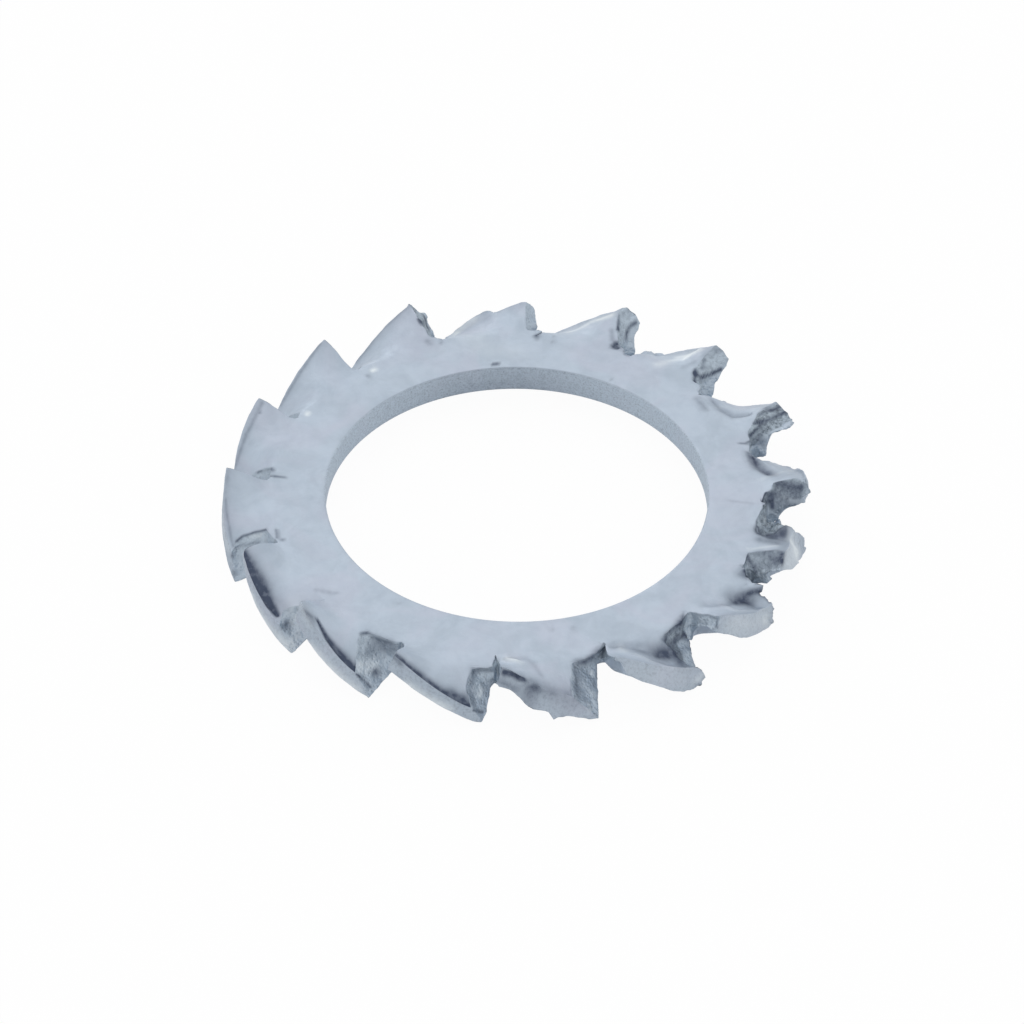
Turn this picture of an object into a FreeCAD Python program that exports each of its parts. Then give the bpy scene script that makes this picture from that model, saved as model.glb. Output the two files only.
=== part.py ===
# Serrated lock washer with external teeth, for a 12 mm thread.
# One piece of spring steel strip: a flat band round a plain bore, and teeth that are each twisted about their own
# radial line. Seen from above, the clockwise end of each tooth is raised and its other end is lowered.
# Millimetres, +Z up. The origin is on the bore's axis, halfway through the flat band.
import FreeCAD, Part
import math
import os

from FreeCAD import Vector

# Flat ring. The band is the least width of plain strip between the bore and the teeth.
boreDiameter = 13.0
bandWidth = 1.8
sheetThickness = 1.0
boreEdgeBreak = 0.08

# Teeth. Each slope is taken at the tip, in degrees, and striking thins the tip from above and from below.
# With a softness of 1 the twist starts at once beside the band, and with a larger one it starts more gently.
toothCount = 16
firstToothAngle = 7.4
toothLength = 1.7
topSlope = 35.0
bottomSlope = 31.0
topThinning = 0.25
bottomThinning = 0.1
twistSoftness = 1.5
tipCrownRadius = 4.1

# Notches. Each gap is the way from the middle line of a notch to one edge of a tooth, at its root and at its tip.
# A notch has a wide round floor under the lowered end of one tooth and a tight one under the raised end of the next.
raisedTopGapRoot = 0.15
raisedTopGapTip = 0.5
raisedBottomGapRoot = 0.05
raisedBottomGapTip = 0.15
loweredTopGapRoot = 0.6
loweredTopGapTip = 0.5
loweredBottomGapRoot = 0.05
loweredBottomGapTip = 0.45
raisedFloorRadius = 0.35
loweredFloorRadius = 1.1

# Steps between the sections that a tooth is drawn through
sectionSteps = 7

# Worked out from the sizes above. The band ends in a polygon that has one side for each tooth to grow from.
boreRadius = boreDiameter / 2
sideDistance = boreRadius + bandWidth
tipRadius = sideDistance + toothLength
halfPitch = math.pi / toothCount
halfThickness = sheetThickness / 2
trimAllowance = sheetThickness / 5


def polygonCorner(index):
    radius = sideDistance / math.cos(halfPitch)
    angle = math.radians(firstToothAngle) + halfPitch * (2 * index + 1)
    return Vector(radius * math.cos(angle), radius * math.sin(angle), -halfThickness)


def flatBand():
    outline = Part.makePolygon([polygonCorner(index) for index in range(toothCount + 1)])
    band = Part.Face(outline).extrude(Vector(0, 0, sheetThickness))
    bore = Part.makeCylinder(boreRadius, sheetThickness, Vector(0, 0, -halfThickness))
    band = band.cut(bore)
    rims = [edge for edge in band.Edges if isinstance(edge.Curve, Part.Circle)]
    return band.makeChamfer(boreEdgeBreak, rims)


# How far a notch has opened at this distance from the band: a quarter round, so that its floor has no sharp corner
def opening(distance, floorRadius):
    step = min(distance / floorRadius, 1.0)
    return math.sqrt(1 - (1 - step) ** 2)


# How much of its full twist a tooth has at this distance from the band
def twistShare(distance):
    step = min(distance / toothLength, 1.0)
    return math.sin(step * math.pi / 2) ** twistSoftness


def between(rootValue, tipValue, distance):
    return rootValue + (tipValue - rootValue) * distance / toothLength


# Section of a tooth square to its radial line, as a closed wire through four corners
def toothSection(distance):
    reach = sideDistance + distance
    halfWidth = reach * math.tan(halfPitch)
    raised = opening(distance, raisedFloorRadius)
    lowered = opening(distance, loweredFloorRadius)
    raisedTop = between(raisedTopGapRoot, raisedTopGapTip, distance) * raised - halfWidth
    raisedBottom = between(raisedBottomGapRoot, raisedBottomGapTip, distance) * raised - halfWidth
    loweredTop = halfWidth - between(loweredTopGapRoot, loweredTopGapTip, distance) * lowered
    loweredBottom = halfWidth - between(loweredBottomGapRoot, loweredBottomGapTip, distance) * lowered
    twist = twistShare(distance)
    topHeight = halfThickness - topThinning * twist
    bottomHeight = bottomThinning * twist - halfThickness
    topFall = math.tan(math.radians(topSlope)) * twist
    bottomFall = math.tan(math.radians(bottomSlope)) * twist
    corners = [
        Vector(reach, raisedTop, topHeight - topFall * raisedTop),
        Vector(reach, raisedBottom, bottomHeight - bottomFall * raisedBottom),
        Vector(reach, loweredBottom, bottomHeight - bottomFall * loweredBottom),
        Vector(reach, loweredTop, topHeight - topFall * loweredTop),
    ]
    return Part.makePolygon(corners + corners[:1])


# Distances of the sections from the band, close together at the root and wider apart to just past the tip
def sectionDistances():
    turns = [math.pi / 2 * step / sectionSteps for step in range(sectionSteps + 1)]
    return [(toothLength + trimAllowance) * (1 - math.cos(turn)) for turn in turns]


# One tooth along +X, trimmed to the crowned edge of its tip
def tooth():
    blade = Part.makeLoft([toothSection(distance) for distance in sectionDistances()], True, True)
    tall = 4 * tipRadius
    crown = Part.makeCylinder(tipCrownRadius, tall, Vector(tipRadius - tipCrownRadius, 0, -tall / 2))
    return blade.common(crown)


def toothRing():
    pattern = []
    first = tooth()
    for index in range(toothCount):
        copy = first.copy()
        copy.rotate(Vector(0, 0, 0), Vector(0, 0, 1), firstToothAngle + index * 360 / toothCount)
        pattern.append(copy)
    return pattern


os.makedirs("parts", exist_ok=True)
washer = flatBand().multiFuse(toothRing()).removeSplitter()
washer.exportStep("parts/lock_washer.step")
print("lock_washer: solids", len(washer.Solids), "valid", washer.isValid(), "volume", round(washer.Volume, 2))
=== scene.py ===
# Serrated lock washer in zinc-plated spring steel, lying on a white table
import math

import bpy
import numpy as np
from mathutils import Matrix, Vector, noise


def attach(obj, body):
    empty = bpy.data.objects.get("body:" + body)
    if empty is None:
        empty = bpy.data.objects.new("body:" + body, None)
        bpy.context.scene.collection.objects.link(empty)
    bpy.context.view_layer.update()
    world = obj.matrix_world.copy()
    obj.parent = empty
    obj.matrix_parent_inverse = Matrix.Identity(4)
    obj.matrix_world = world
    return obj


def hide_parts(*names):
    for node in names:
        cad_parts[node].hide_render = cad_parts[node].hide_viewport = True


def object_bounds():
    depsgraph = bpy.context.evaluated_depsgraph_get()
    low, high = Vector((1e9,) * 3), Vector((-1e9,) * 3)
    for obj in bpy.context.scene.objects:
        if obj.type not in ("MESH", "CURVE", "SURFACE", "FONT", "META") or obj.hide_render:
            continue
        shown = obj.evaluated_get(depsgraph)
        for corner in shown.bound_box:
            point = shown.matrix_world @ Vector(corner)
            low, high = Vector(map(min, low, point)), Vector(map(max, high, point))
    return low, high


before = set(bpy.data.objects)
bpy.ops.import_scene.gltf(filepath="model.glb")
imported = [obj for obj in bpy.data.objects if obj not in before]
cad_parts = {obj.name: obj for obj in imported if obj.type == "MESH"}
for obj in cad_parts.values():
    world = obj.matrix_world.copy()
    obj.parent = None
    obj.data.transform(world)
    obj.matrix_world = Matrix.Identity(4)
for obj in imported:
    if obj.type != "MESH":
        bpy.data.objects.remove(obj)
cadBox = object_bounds()
print("frame loaded")

mm = 0.001


# the camera

camera = {
    "elevation": 41.351,  # degrees above the table
    "distance": 0.19118,  # from the middle of the ring
    "lens": 197.58,
    "sensor": 36.0,
    "roll": 0.517,  # degrees
    "shiftRight": -0.00462,
    "shiftUp": -0.0097,
    "nearest": 0.005,  # the camera shows what lies between these distances
    "farthest": 5.0,
}


def makeCamera():
    elevation = math.radians(camera["elevation"])
    back = Vector((0, -math.cos(elevation), math.sin(elevation)))
    data = bpy.data.cameras.new("studioCamera")
    data.lens = camera["lens"]
    data.sensor_width = camera["sensor"]
    data.shift_x = camera["shiftRight"]
    data.shift_y = camera["shiftUp"]
    data.clip_start = camera["nearest"]
    data.clip_end = camera["farthest"]
    eye = bpy.data.objects.new("studioCamera", data)
    eye.rotation_mode = "QUATERNION"
    eye.location = back * camera["distance"]
    turn = Matrix.Rotation(math.radians(camera["roll"]), 3, "Z")
    eye.rotation_quaternion = ((-back).to_track_quat("-Z", "Y").to_matrix() @ turn).to_quaternion()
    bpy.context.scene.collection.objects.link(eye)
    bpy.context.scene.camera = eye


# the washer's form, in millimetres and degrees

ring = {
    "boreRadius": 6.5,
    "rootDistance": 8.3,  # from the axis to the line that a tooth grows from
    "halfThickness": 0.5,
    "boreEdge": 0.09,  # rounding of the bore's two edges
    "toothCount": 16,
    "firstAngle": 7.4,
    "wallShade": 0.32,  # painted shade: how much darker the bore's wall is at the angle of its darkest place
    "wallAngle": 95,
    "wallSpread": 32,
    "wallFoot": 1.25,  # how much of that shade the wall's lower edge has, and how much less its upper one
    "wallRise": 0.5,
    "edgeLine": 0.14,  # a painted shade line, dark along the bore's upper edge, round the angle of its middle
    "lineAngle": 92,
    "lineReach": 70,
    "lineFade": 25,
}

fineness = {  # how many steps the mesh takes
    "depth": 34,  # root to tip
    "across": 38,  # raised end to lowered end
    "height": 22,
    "band": 11,
    "boreEdge": 3,
    "boreWall": 6,
    "under": 5,
}

toothShape = {  # what every tooth starts from
    "tip": 10.0,
    "topSlope": 35.0,
    "bottomSlope": 31.0,
    "topThinning": 0.25,
    "bottomThinning": 0.1,
    "crown": 4.1,
    "softness": 1.5,
    "turn": 0.0,  # degrees that the blade leans round the ring
    "raisedTop": [0.15, 0.5],  # gaps at the root and at the tip, or pairs of way out and gap
    "raisedUnder": [0.05, 0.15],
    "loweredTop": [0.6, 0.5],
    "loweredUnder": [0.05, 0.45],
    "leanRaised": 0.05,  # how far the rim's upper edge stands back, at the raised end
    "leanLowered": 0.05,
    "raisedCurve": 1.3,  # above 1 the raised end's face stands upright and leans in only near its upper edge
    "loweredCurve": 1.0,
    "tear": 0.03,  # how far the raised end's face is torn in and out
    "tearLowered": 0.025,
    "tearRim": 0.012,
    "gutter": 0.02,  # depth of the shallow groove inside the rim
    "gutterWidth": 0.12,
    # painted shade in that groove
    "gutterShade": 0.15,
    "brokenRaised": 0.45,  # how much of the raised end's face is broken and dark
    "brokenLowered": 0.15,
    "seamHeight": 0.45,  # where the raised end's face changes from sheared to torn
    "seamTilt": 0.2,
}
floorRadius = {"raisedTop": 0.35, "raisedUnder": 0.35, "loweredTop": 1.1, "loweredUnder": 1.1}

# what sets each tooth apart, counted round from the one on the far right
teeth = [
    {"turn": 0.33, "softness": 1.27, "tear": 0.06, "raisedTop": [(0, 0), (0.08, 0.5), (0.5, 0.85),
     (1.7, 0.7)], "brokenRaised": 0.5, "brokenLowered": 0.3, "seamHeight": 0.5, "seamTilt": -0.5,
     "raisedCurve": 2.2, "tearLowered": 0.06},
    {"tip": 10.08, "topSlope": 38.5, "bottomSlope": 33.4, "crown": 4.7, "softness": 1.23,
     "bottomThinning": 0.16, "tear": 0.07, "raisedTop": [(0, 0), (0.08, 0.4), (0.5, 0.74), (0.93, 1.25),
     (1.7, 1.6)], "brokenRaised": 0.7, "seamTilt": 0.0, "seamHeight": 0.55, "raisedCurve": 3.0,
     "tearLowered": 0.05},
    {"tip": 10.05, "bottomSlope": 32.1, "turn": 0.14, "bottomThinning": 0.14, "tear": 0.04,
     "brokenRaised": 0.35, "raisedTop": [(0, 0), (0.08, 0.5), (0.32, 0.7), (0.7, 0.8), (1.7, 1.0)],
     "seamHeight": 0.5, "seamTilt": -0.4, "raisedCurve": 2.6, "tearLowered": 0.05},
    {"bottomSlope": 33.2, "topSlope": 33.9, "crown": 4.5, "turn": -0.17, "tear": 0.05, "brokenRaised": 0.25,
     "raisedTop": [(0, 0), (0.14, 0.34), (0.62, 0.6), (1.5, 0.95)]},
    {"tip": 9.92, "topSlope": 29.7, "topThinning": 0.36, "bottomThinning": 0.15, "crown": 3.5,
     "turn": -0.47, "raisedTop": [(0, 0), (0.2, 0.3), (1, 0.46), (1.6, 0.57)], "tearRim": 0.05,
     "brokenRaised": 0.15},
    {"topSlope": 41.0, "topThinning": 0.29, "raisedTop": [(0, 0), (0.25, 0.35), (0.78, 0.6), (1.5, 0.75)],
     "raisedUnder": [-0.05, 0.15], "loweredTop": [0.6, 0.39], "turn": -0.25, "tear": 0.07,
     "brokenRaised": 0.5},
    {"tip": 9.96, "topThinning": 0.28, "crown": 5.2, "loweredTop": [0.6, 0.39], "turn": -0.17,
     "tear": 0.01},
    {"tip": 9.98, "topThinning": 0.32, "turn": -0.26, "loweredTop": [(0, 0), (0.06, 0.6), (0.4, 0.75),
     (1.7, 0.8)], "tear": 0.02},
    {"tip": 10.05, "crown": 4.6, "raisedUnder": [0.05, 0.25], "tearLowered": 0.03, "leanRaised": 0.06,
     "leanLowered": 0.12, "loweredTop": [(0, 0), (0.2, 0.5), (0.32, 0.92), (0.6, 1.05), (1.1, 1.25),
     (1.35, 1.2), (1.7, 0.8)], "tear": 0.01},
    {"turn": 0.52, "loweredUnder": [0.05, 0.24], "bottomSlope": 28.5, "softness": 1.36, "topThinning": 0.2,
     "tear": 0.01, "leanRaised": 0.1, "leanLowered": 0.12, "tearLowered": 0.05, "raisedTop": [(0, 0),
     (0.3, 0.12), (0.7, 0.3), (1.5, 0.7)], "loweredTop": [(0, 0), (0.45, 0.05), (0.65, 0.8), (1.1, 1.1),
     (1.5, 0.85)]},
    {"bottomSlope": 27.0, "loweredUnder": [0.05, 0.55], "turn": -0.3, "softness": 1.65, "topThinning": 0.2,
     "tear": 0.01, "leanRaised": 0.15, "leanLowered": 0.2, "tearLowered": 0.05, "raisedTop": [(0, 0),
     (0.6, 0.02), (1.4, 0.35), (1.7, 0.6)], "loweredTop": [(0, 0), (0.14, 0.15), (0.18, 0.65), (0.22, 1.2),
     (0.45, 1.48), (1, 1.3), (1.4, 1.08)]},
    {"tip": 9.96, "bottomSlope": 27.0, "crown": 4.5, "turn": 0.2, "softness": 1.85, "topThinning": 0.2,
     "leanRaised": 0.1, "leanLowered": 0.12, "tearLowered": 0.05, "brokenLowered": 0.1,
     "loweredTop": [(0, 0), (0.3, 0.08), (0.38, 0.85), (0.95, 1), (1.3, 0.9), (1.5, 0.8)]},
    {"bottomSlope": 28.6, "crown": 3.8, "topThinning": 0.23, "tearLowered": 0.06, "leanRaised": 0.42,
     "leanLowered": 0.3, "raisedTop": [(0, 0), (0.3, 0.08), (1.7, 0.3)], "brokenLowered": 0.1,
     "tearRim": 0.03, "loweredTop": [(0, 0), (0.2, 0.45), (0.25, 0.97), (0.8, 1.14), (1.2, 1.25)]},
    {"tip": 10.05, "bottomSlope": 32.7, "raisedUnder": [0.18, 0.15], "leanRaised": 0.35, "leanLowered": 0.3,
     "raisedTop": [(0, 0), (0.3, 0.15), (1.7, 0.3)], "tearLowered": 0.08, "brokenLowered": 0.6,
     "tearRim": 0.025, "loweredTop": [(0, 0), (0.05, 0.2), (0.2, 0.9), (0.4, 1.1), (0.8, 0.95),
     (1.7, 0.45)]},
    {"topSlope": 31.6, "topThinning": 0.14, "crown": 3.6, "turn": 0.57, "raisedUnder": [0.05, 0.26],
     "tearRim": 0.025, "leanRaised": 0.2, "leanLowered": 0.2, "raisedTop": [(0, 0), (0.1, 0.4), (0.6, 0.55),
     (1.7, 0.5)], "tearLowered": 0.1, "loweredTop": [(0, 0), (0.15, 0.2), (0.35, 0.9), (0.6, 0.85),
     (1.7, 0.4)], "brokenRaised": 0.2, "brokenLowered": 0.6},
    {"topSlope": 31.8, "topThinning": 0.16, "bottomThinning": 0.18, "turn": 0.58,
     "loweredUnder": [0.05, 0.51], "loweredTop": [(0, 0), (0.05, 0.6), (0.15, 1.2), (0.35, 1.5), (0.8, 1.4),
     (1.7, 0.9)], "softness": 1.85, "raisedUnder": [0.05, 0.07], "tear": 0.06, "tearLowered": 0.1,
     "brokenRaised": 0.4, "brokenLowered": 0.65, "raisedTop": [(0, 0), (0.06, 0.5), (0.4, 0.8), (1.2, 0.95),
     (1.7, 0.9)], "leanRaised": 0.33, "leanLowered": 0.6, "seamHeight": 0.2, "raisedCurve": 2.0},
]

# how the struck and torn places are worked
working = {
    "gapStep": 0.05,  # the gaps beside a tooth are worked out this often, as far out as gapReach
    "gapReach": 2.4,
    "rimRounds": 5,  # rounds that bring the rim's crown and a tooth's sides together
    "strokeFade": 1.4,  # how fast a stroke fades out past its radius
    "edgeRounds": 2,  # how far the softening of a tooth's edges spreads beside them
    "edgeSpread": 0.6,
    "edgeReach": 1.2,
    "edgeStrength": 0.5,  # how strong that softening is, and how often it is done
    "edgeTimes": 4,
    "gutterPlace": 1.6,  # length of tooth that the groove inside the rim is measured on
    "gutterStart": 3,  # how fast the groove starts from the root
    "tearSpread": 0.5,  # how far the tearing reaches past an edge, and how strong it is there
    "tearPast": 0.6,
    "tearBumps": [(1.3, 0.45, 3), (0.8, 0.2, 5), (0.4, 0.09, 8)],  # share, width and the noise's own number
}


def stroke(path, radius, move=(0, 0, 0), shade=0, shine=0, face=None):
    # a dent, ridge or crease, with the painted shade, painted highlight, dirt and wear on it. Its path goes
    # through places on a tooth: across from its raised to its lowered end, out from its root to its rim and
    # up from its underside, each from 0 to 1, and out is below 0 on the band. Move is outwards, round the
    # ring and up, in millimetres. Shade darkens the colour: painted shade in hollows, creases and grooves,
    # and dirt,
    # cracks and pits. Shine lightens it: painted highlights and glints on ridges and edges, and bare metal
    # rubbed bright. Either is on one face alone where it is named
    return {"path": path, "radius": radius, "move": move, "shade": shade, "shine": shine, "face": face}


def onTop(path, radius, **given):
    return stroke([(across, out, 1) for across, out in path], radius, **given)


def onUnderside(path, radius, **given):
    return stroke([(across, out, 0) for across, out in path], radius, **given)


def onRaised(path, radius, **given):
    return stroke([(0, out, up) for out, up in path], radius, **given)


def onLowered(path, radius, **given):
    return stroke([(1, out, up) for out, up in path], radius, **given)


def onRim(path, radius, **given):
    return stroke([(across, 1, up) for across, up in path], radius, **given)


# the strokes on each tooth, counted as the teeth are
handWork = {
    0: [  # far right
        onTop([(0, 0.07), (0, 0.03), (0, 0.01)], 0.06, shade=0.8),
        onRaised([(0.18, 0.83), (0.18, 0.55)], 0.1, shade=0.55),
        onRaised([(0.03, 0.98)], 0.06, shine=0.6),
        onRaised([(0.38, 0.99), (0.68, 0.89), (0.88, 0.78)], 0.14, shade=0.4),
        onTop([(0.78, 0), (0.61, 0), (0.45, 0.2)], [0.16, 0.22, 0.18], move=(0, 0, -0.12), shade=0.5),
        onTop([(1, 0.23), (0.81, 0.3), (0.94, 0.7)], 0.06, move=(0, 0, 0.03), shine=0.3),
        onTop([(0.35, 0.03), (0.38, 0.37), (0.72, 0.85)], 0.06, shine=0.35),
        onRaised([(0.37, 0.75), (0.64, 0.47), (0.9, 0.09)], 0.08, shine=0.2),
        onTop([(0.17, 0.33), (0.43, 0.71), (0.42, 0.93)], 0.14, shade=0.12),
        onRaised([(0.42, 0.97), (0.64, 0.86), (0.87, 0.78)], 0.16, shade=0.4),
        onRaised([(0.16, 0.93), (0.09, 0.81)], 0.14, shade=0.6),
        onTop([(0.06, 0), (0.07, 0)], 0.06, shade=1),
        onRaised([(0.28, 0.86), (0.78, 0.59)], 0.18, shade=0.5),
        onRaised([(0.27, 0.7), (0.6, 0.29), (0.8, 0)], 0.24, shade=0.4),
        onRaised([(0.08, 0.67), (0.27, 0.37)], 0.2, shade=0.35),
        onLowered([(0.14, 0.58), (0.24, 0.28)], 0.2, shade=0.5),
        onTop([(0.82, 0), (0.68, 0.05), (0.52, 0.2), (0.38, 0.3)], 0.26, shade=0.42),
        onTop([(0.82, 0.17), (0.8, 0.38)], 0.15, shade=0.25),
        onTop([(0.86, -0.12), (0.69, -0.1)], 0.16, shade=0.35),
        onRim([(0.64, 0.57), (0.5, 0.03)], 0.13, shade=0.45),
        onTop([(0.03, -0.81), (0, -0.3)], 0.08, shade=0.15),
        onLowered([(0, 0.99), (0.05, 0.99), (0.17, 1), (0.31, 1), (0.49, 0.98), (0.75, 0.97)], 0.42,
            move=[(-0.07, -0.09, 0), (-0.22, -0.2, 0), (-0.39, -0.18, 0), (-0.49, -0.12, 0),
            (-0.2, 0.03, 0), (-0.04, 0.02, 0)]),
        stroke([(0.78, 1, 1), (0.53, 1, 1), (0.28, 1, 1), (0, 1, 1), (0, 1, 0.68), (0, 1, 0.51),
            (0, 1, 0.29), (0, 1, 0), (0, 0.83, 0.06), (0, 0.69, 0.1), (0, 0.53, 0.07), (0, 0.33, 0.03),
            (0, 0.21, 0)], 0.16, move=[(0, 0.05, 0.05), (-0.05, 0.07, 0.07), (-0.09, 0.05, 0.04),
            (-0.04, 0.01, 0.01), (0.06, 0.02, 0.03), (0.12, 0.02, 0.03), (-0.11, 0.02, 0.02),
            (0.03, -0.03, -0.03), (-0.01, -0.01, -0.01), (-0.09, 0.03, 0.03), (-0.1, 0.03, 0.04),
            (0, -0.01, -0.01), (0.14, 0.02, 0.03)]),
        onTop([(0, 0.73), (0, 0.52), (0, 0.33)], 0.15, move=[(0, 0.07, 0.08), (-0.06, 0.08, 0.08),
            (-0.13, 0.06, 0.06)]),
        onRaised([(0.07, 0.99), (0.03, 0.97)], 0.12, move=[(-0.05, 0.06, 0), (-0.14, -0.14, 0)]),
        onRaised([(0.4, 0.5), (0.8, 0.5)], 0.35, shade=0.22, face="raised"),
    ],
    1: [
        onTop([(0.76, 0), (0.63, 0), (0.42, 0.13), (0.21, 0.39)], [0.14, 0.2, 0.22, 0.14],
            move=(0, 0, -0.12), shade=0.38),
        onTop([(0.67, 0), (0.48, 0.34), (0.17, 0.7)], 0.06, move=(0, 0, 0.03), shine=0.3),
        onRaised([(0.54, 0.96), (0.73, 0.94), (0.97, 0.93)], 0.1, shade=0.75),
        onRaised([(0.31, 0.97), (0.55, 0.82), (0.88, 0.82), (1, 0.8)], 0.085, shade=1),
        onRaised([(0.09, 0.89), (0.28, 0.86), (0.44, 0.83)], 0.06, shade=0.8),
        onRaised([(0.28, 0.69), (0.29, 0.28)], 0.15, shade=0.35),
        onRaised([(0.76, 1), (1, 0.86)], 0.18, shade=0.4),
        onRaised([(0.12, 0.79), (0.32, 0.46)], 0.25, shade=0.35),
        onLowered([(0, 0.4), (0.13, 0.1), (0.39, 0.12)], 0.2, shade=0.55),
        onTop([(0.88, -0.29), (0.68, -0.3)], 0.16, shade=0.4),
        onTop([(0.01, -0.23), (0, 0)], 0.07, shade=0.6),
        onLowered([(0, 1), (0.04, 1), (0.12, 1), (0.32, 0.97), (0.47, 0.99)], 0.25, move=[(-0.21, 0, 0),
            (-0.32, -0.1, 0), (-0.27, -0.15, 0), (-0.11, 0, 0), (-0.02, -0.03, 0)]),
        onRaised([(1, 1), (1, 0.83), (1, 0.7), (1, 0.33), (1, 0), (0.83, 0.3), (0.68, 0), (0.52, 0.02),
            (0.35, 0.03), (0.24, 0.04)], 0.22, move=[(0.09, 0.01, 0.06), (0.1, 0.01, 0.06), (0.11, 0, 0.05),
            (0.09, 0.01, 0.05), (0.02, -0.04, -0.04), (-0.02, -0.01, -0.03), (-0.11, 0.09, 0.04),
            (-0.02, 0.03, 0.03), (0.09, -0.06, -0.02), (0.19, -0.11, -0.04)]),
        onRaised([(1, 0.33)], 0.07, move=(0.07, -0.02, 0.01)),
    ],
    2: [
        onRaised([(0.31, 0.99), (0.07, 0.88)], 0.1, shade=0.8),
        onRaised([(0.03, 0.55), (0.12, 0.03)], 0.15, shade=0.35),
        onTop([(0.47, 0.59), (0.31, 0.73), (0.19, 0.88)], 0.18, shine=0.6),
        onTop([(0.58, 0), (0.49, 0.33), (0.31, 0.65)], 0.18, shine=0.5),
        onRaised([(0.74, 1), (1, 0.8)], 0.2, shade=0.25),
        onTop([(0.19, 0.28), (0.1, 0.47)], 0.14, shade=0.2),
        onRaised([(0.24, 0.96), (0.31, 0.78), (0.51, 0.62), (0.8, 0.35)], 0.085, shade=1.1),
        onRaised([(0.07, 0.88)], 0.09, shade=0.9),
        onRaised([(0.6, 0.95), (0.44, 0.89)], 0.1, shade=0.45),
        onTop([(0.31, 0.49), (0.27, 0.76), (0.23, 0.96)], 0.08, move=(0, 0, 0.03), shine=0.8),
        onLowered([(0.48, 0.99), (0.8, 0.81)], 0.06, shade=0.35),
        onTop([(0.89, -1)], 0.07, shade=1),
        onRaised([(1, 1), (1, 0.77), (1, 0.53), (1, 0.23), (1, 0.01), (0.8, 0), (0.56, 0), (0.38, 0.02),
            (0.21, 0)], 0.25, move=[(0.1, -0.05, 0.05), (0.11, -0.01, 0.08), (0.05, -0.01, 0.04),
            (-0.03, 0.02, -0.01), (-0.06, 0.02, -0.03), (-0.01, 0, -0.01), (-0.01, 0.01, 0),
            (0.05, -0.07, -0.02), (0.12, -0.1, 0.01)]),
        onRim([(0.01, 0.39)], 0.07, move=(0.07, -0.03, 0.04), shade=0.3),
        onTop([(1, 0.12), (1, 0.19), (1, 0.29), (1, 0.38), (1, 0.53), (1, 0.75), (1, 1), (0.91, 1)], 0.13,
            move=[(-0.08, -0.06, -0.12), (-0.06, -0.08, -0.1), (-0.03, -0.07, -0.08), (0.07, 0.01, 0.07),
            (0.1, 0.03, 0.12), (0.11, 0.02, 0.12), (0.09, 0, 0.1), (0.08, -0.03, 0.06)]),
        onTop([(1, 0), (1, 0.04)], 0.2, move=[(-0.26, 0.01, 0), (-0.36, -0.06, 0)]),
    ],
    3: [
        onTop([(0.74, 0.48), (0.43, 0.85), (0.11, 0.88)], 0.16, shine=0.75),
        onTop([(0.09, 0.43), (0.07, 0.18), (0.05, 0)], 0.12, shade=0.35),
        onRaised([(0.92, 0.25), (0.82, 0.4), (0.71, 0.48), (0.59, 0.53), (0.48, 0.48)], 0.085, shade=0.85),
        onTop([(0.02, 0.12), (0.11, 0.04), (0.09, 0)], 0.09, move=(0, 0, -0.06), shade=1.2),
        onRaised([(0.48, 0.96)], 0.08, shade=0.8),
        onRaised([(0.82, 1), (0.45, 0.99)], 0.06, shade=0.7),
        onTop([(0.32, 0.84), (0.12, 0.91)], 0.05, shine=0.7),
        onTop([(0.78, 0)], 0.07, shade=0.3),
        onTop([(0.99, -0.13), (0.96, -0.17)], 0.11, shade=0.9),
        onTop([(0.78, -0.17)], 0.1, shade=0.45),
        stroke([(0, 1, 1), (0.01, 1, 0.85), (0.01, 1, 0.68), (0, 1, 0.53), (0, 1, 0.34), (0, 1, 0.19),
            (0, 1, 0.01), (0, 0.87, 0.01), (0, 0.72, 0), (0, 0.56, 0), (0, 0.43, 0.01), (0, 0.35, 0)], 0.16,
            move=[(0.06, -0.04, 0.05), (0.16, -0.12, 0.13), (0.12, -0.1, 0.1), (0.13, -0.13, 0.09),
            (0.08, -0.04, 0.07), (0.04, -0.01, 0.04), (0.01, 0, 0.01), (0, -0.04, -0.02), (-0.01, 0, -0.01),
            (0.03, -0.06, 0), (0.07, -0.15, 0), (0.08, -0.19, 0)]),
    ],
    4: [  # back
        onTop([(0.88, 0.92), (0.75, 1), (0.62, 1)], 0.25, shine=0.55),
        onTop([(0.74, 0), (0.58, 0)], 0.4, shine=0.15),
        onTop([(0.63, -0.4), (0.25, -0.65)], 0.5, shine=0.14),
        onRaised([(0, 0.89)], 0.08, shade=0.55),
        onTop([(0.44, 1)], 0.05, shade=0.5),
        onTop([(0.86, 0.94)], 0.1, shine=0.8),
        onTop([(0.5, -1), (0.44, -1)], 0.08, shade=1),
        stroke([(0.97, 1, 1), (0.87, 1, 0.98), (0.75, 1, 0.98), (0.67, 1, 1), (0.62, 1, 1), (0.53, 1, 0.99),
            (0.46, 1, 0.99), (0.39, 1, 1), (0.34, 1, 1), (0.25, 1, 0.98), (0.12, 1, 1), (0, 1, 1),
            (0, 1, 0.72), (0, 1, 0.02), (0, 0.78, 0.03), (0, 0.65, 0), (0, 0.01, 0.98)], 0.16,
            move=[(0.02, 0.03, 0.01), (0.02, 0.05, 0.01), (0.02, 0.07, 0.02), (0.09, 0.06, 0.09),
            (0.08, 0.01, 0.1), (0.07, 0.02, 0.08), (0.07, 0, 0.09), (-0.01, 0.01, -0.01),
            (-0.05, -0.02, -0.06), (-0.02, -0.04, -0.02), (-0.01, -0.02, -0.01), (0, -0.05, 0),
            (0.02, -0.07, 0.02), (0, 0.02, 0), (0.01, -0.05, 0), (0.01, -0.11, 0), (0.06, -0.27, 0.05)]),
    ],
    5: [
        onTop([(0.02, 1), (0.41, 1), (0.79, 0.99)], 0.08, shade=0.25),
        onTop([(0, 0.58), (0, 0.48)], 0.07, shade=1),
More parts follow.
